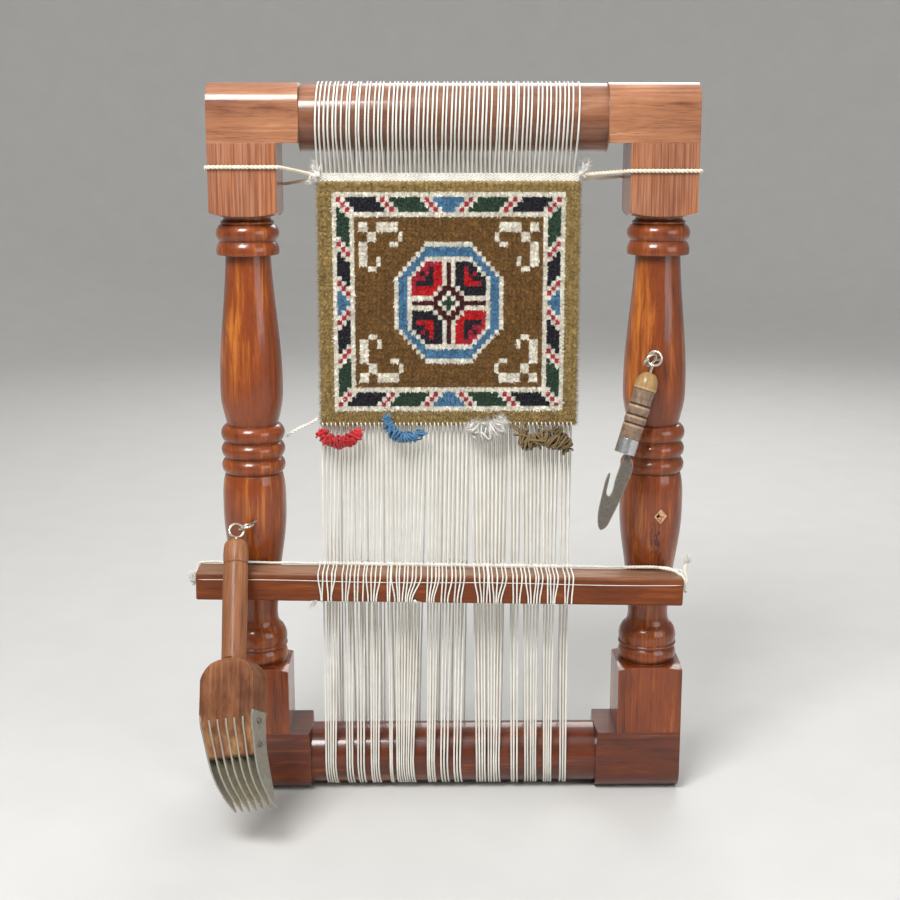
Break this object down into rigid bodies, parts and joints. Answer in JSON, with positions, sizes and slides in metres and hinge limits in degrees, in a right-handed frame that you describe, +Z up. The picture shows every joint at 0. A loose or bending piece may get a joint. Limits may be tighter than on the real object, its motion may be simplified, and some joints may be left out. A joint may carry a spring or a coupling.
{
  "type": "tapestry frame loom",
  "caption": "Upright wooden frame loom with turned posts and beams, cotton warp, part-woven pile carpet, heddle bar on leashes, beating comb and hooked knife on screw eyes.",
  "frame": {"origin": "middle of the loom's left foot, on the floor: the square left end of the bottom beam", "axes": "+Z up, +X along the beams to the right as seen from the front, the worked face of the carpet looks along -Y"},
  "size_m": [0.3069, 0.1364, 0.4455],
  "materials": {
    "post_wood": "turned hardwood, glossy clear lacquer, streaked grain",
    "beam_wood": "lighter orange-brown hardwood, glossy clear lacquer",
    "base_wood": "darker red-brown hardwood, glossy clear lacquer",
    "dowel_wood": "plain unlacquered beech, hidden",
    "bar_wood": "planed softwood with a worn light edge",
    "comb_wood": "dull tan-brown hardwood, worn by hands",
    "knife_wood": "tan turned hardwood, satin",
    "warp_cotton": "two-ply cotton twine",
    "header_cotton": "plain-woven cotton band",
    "lacing_cotton": "fuzzy cotton cord",
    "leash_cotton": "cotton string",
    "carpet_wool": "knotted wool pile in a patterned layout",
    "red_wool": "loose wool yarn",
    "blue_wool": "loose wool yarn",
    "white_wool": "loose wool yarn, fluffy",
    "brown_wool": "loose wool yarn, curled",
    "blade_steel": "dull sheet steel, filed edges",
    "cheek_steel": "dull sheet steel with scratches",
    "rivet_steel": "hammered steel rivets",
    "knife_steel": "ground steel",
    "ferrule_aluminium": "turned aluminium",
    "plated_wire": "zinc-plated steel wire, slightly tarnished"
  },
  "bodies": {
    "frame": {"left_post": "post_wood", "right_post": "post_wood", "top_beam": "beam_wood", "bottom_beam": "base_wood", "corner_dowels": "dowel_wood", "comb_hanger_eye": "plated_wire", "knife_hanger_eye": "plated_wire", "warp_front_threads": "warp_cotton", "warp_back_threads": "warp_cotton", "header_band": "header_cotton", "carpet": "carpet_wool", "left_lacing_cord": "lacing_cotton", "right_lacing_cord": "lacing_cotton", "selvedge_cord_tail": "lacing_cotton", "yarn_red": "red_wool", "yarn_blue": "blue_wool", "yarn_white": "white_wool", "yarn_brown": "brown_wool"},
    "heddle": {"heddle_bar": "bar_wood", "heddle_leashes": "leash_cotton", "heddle_cord": "leash_cotton"},
    "comb": {"comb_body": "comb_wood", "comb_blades": "blade_steel", "comb_cheek_plates": "cheek_steel", "comb_rivets": "rivet_steel", "comb_eye": "plated_wire"},
    "knife": {"knife_handle": "knife_wood", "knife_ferrule": "ferrule_aluminium", "knife_blade": "knife_steel", "knife_eye": "plated_wire"}
  },
  "joints": [
    {"name": "heddle_slide", "type": "slide", "parent": "frame", "child": "heddle", "axis": [0, 0, 1], "range_m": [-0.02, 0]},
    {"name": "comb_swing", "type": "hinge", "parent": "frame", "child": "comb", "pos_m": [-0.00611, -0.02976, 0.17881], "axis": [0, 1, 0], "range_deg": [-20, 20]},
    {"name": "knife_swing", "type": "hinge", "parent": "frame", "child": "knife", "pos_m": [0.24554, -0.02509, 0.28532], "axis": [0, 1, 0], "range_deg": [-25, 20]}
  ]
}
